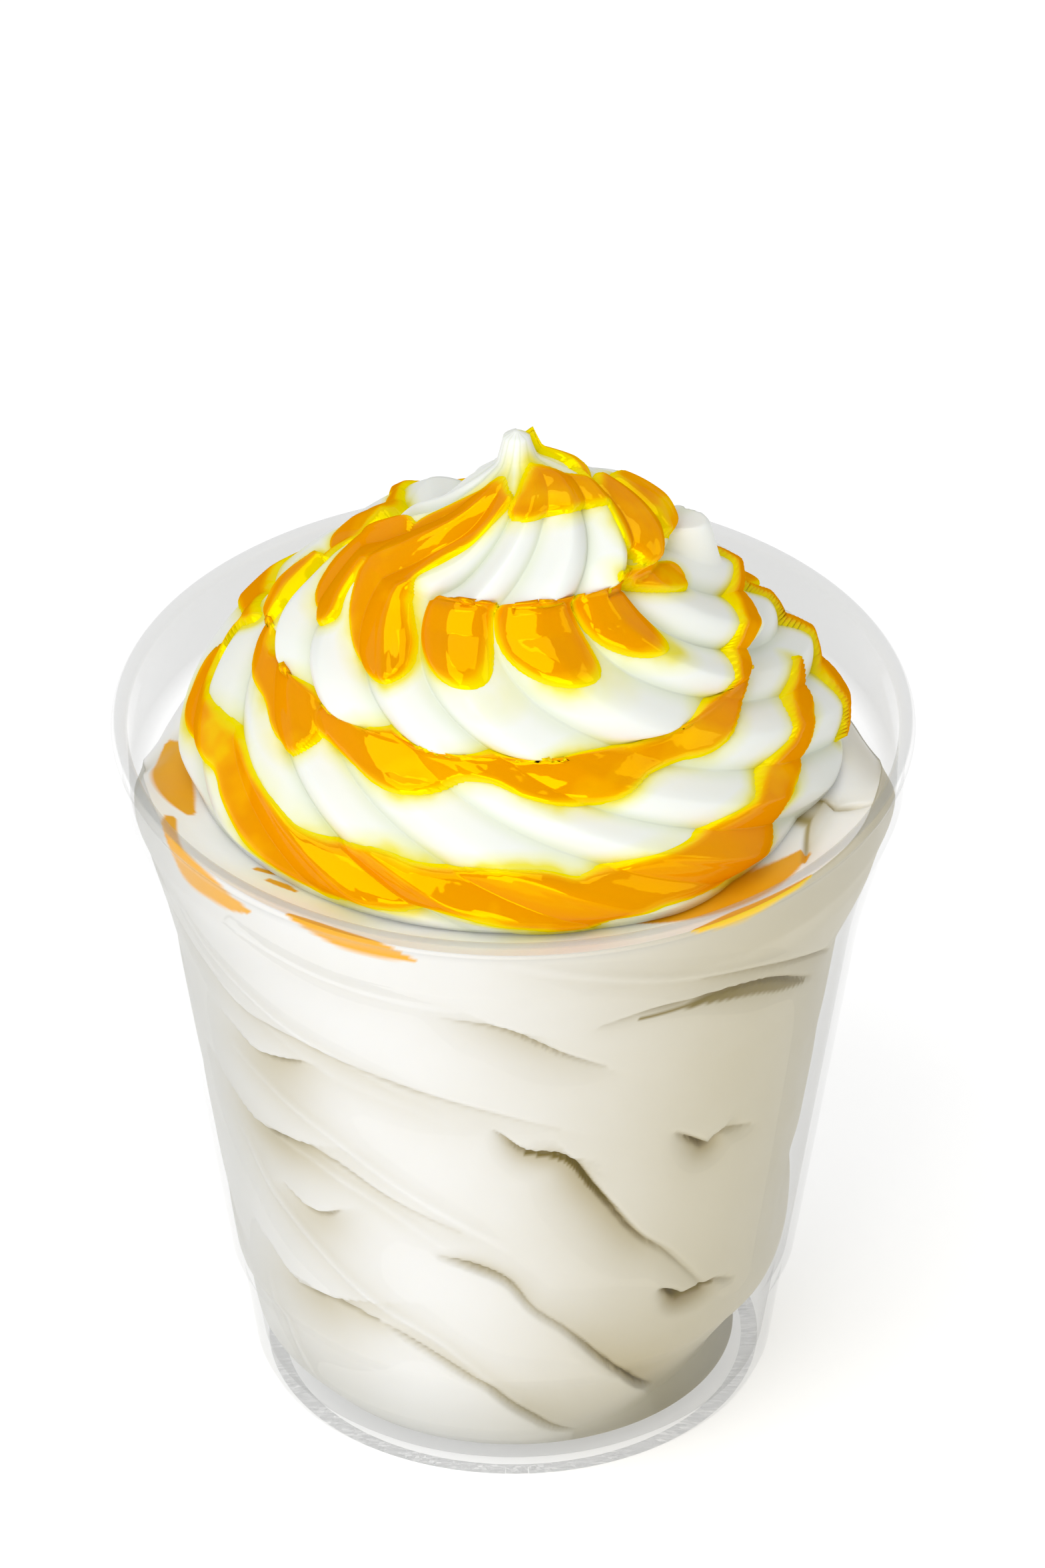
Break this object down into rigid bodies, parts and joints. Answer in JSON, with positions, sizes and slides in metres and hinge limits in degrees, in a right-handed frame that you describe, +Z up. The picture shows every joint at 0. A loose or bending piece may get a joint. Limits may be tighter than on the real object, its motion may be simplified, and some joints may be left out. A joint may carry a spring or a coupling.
{
  "type": "sundae",
  "caption": "Ice cream sundae in a clear tapered cup with a rolled rim, topped by a ridged soft-serve swirl with ribbons of fruit sauce.",
  "frame": {"origin": "middle of the circle on which the cup stands", "axes": "+Z up along the cup's axis, -Y towards the front, from which the sundae is shown"},
  "size_m": [0.098, 0.098, 0.1343],
  "materials": {
    "clear_plastic": "clear thin-walled cup, smooth and glossy",
    "ivory_ice_cream": "smooth ivory ice cream with a soft sheen, streaked with sauce near the top",
    "white_soft_serve": "smooth white soft serve with glossy orange-yellow sauce on it"
  },
  "bodies": {
    "root": {"cup": "clear_plastic", "ice_cream_filling": "ivory_ice_cream", "soft_serve_swirl": "white_soft_serve"}
  },
  "joints": []
}
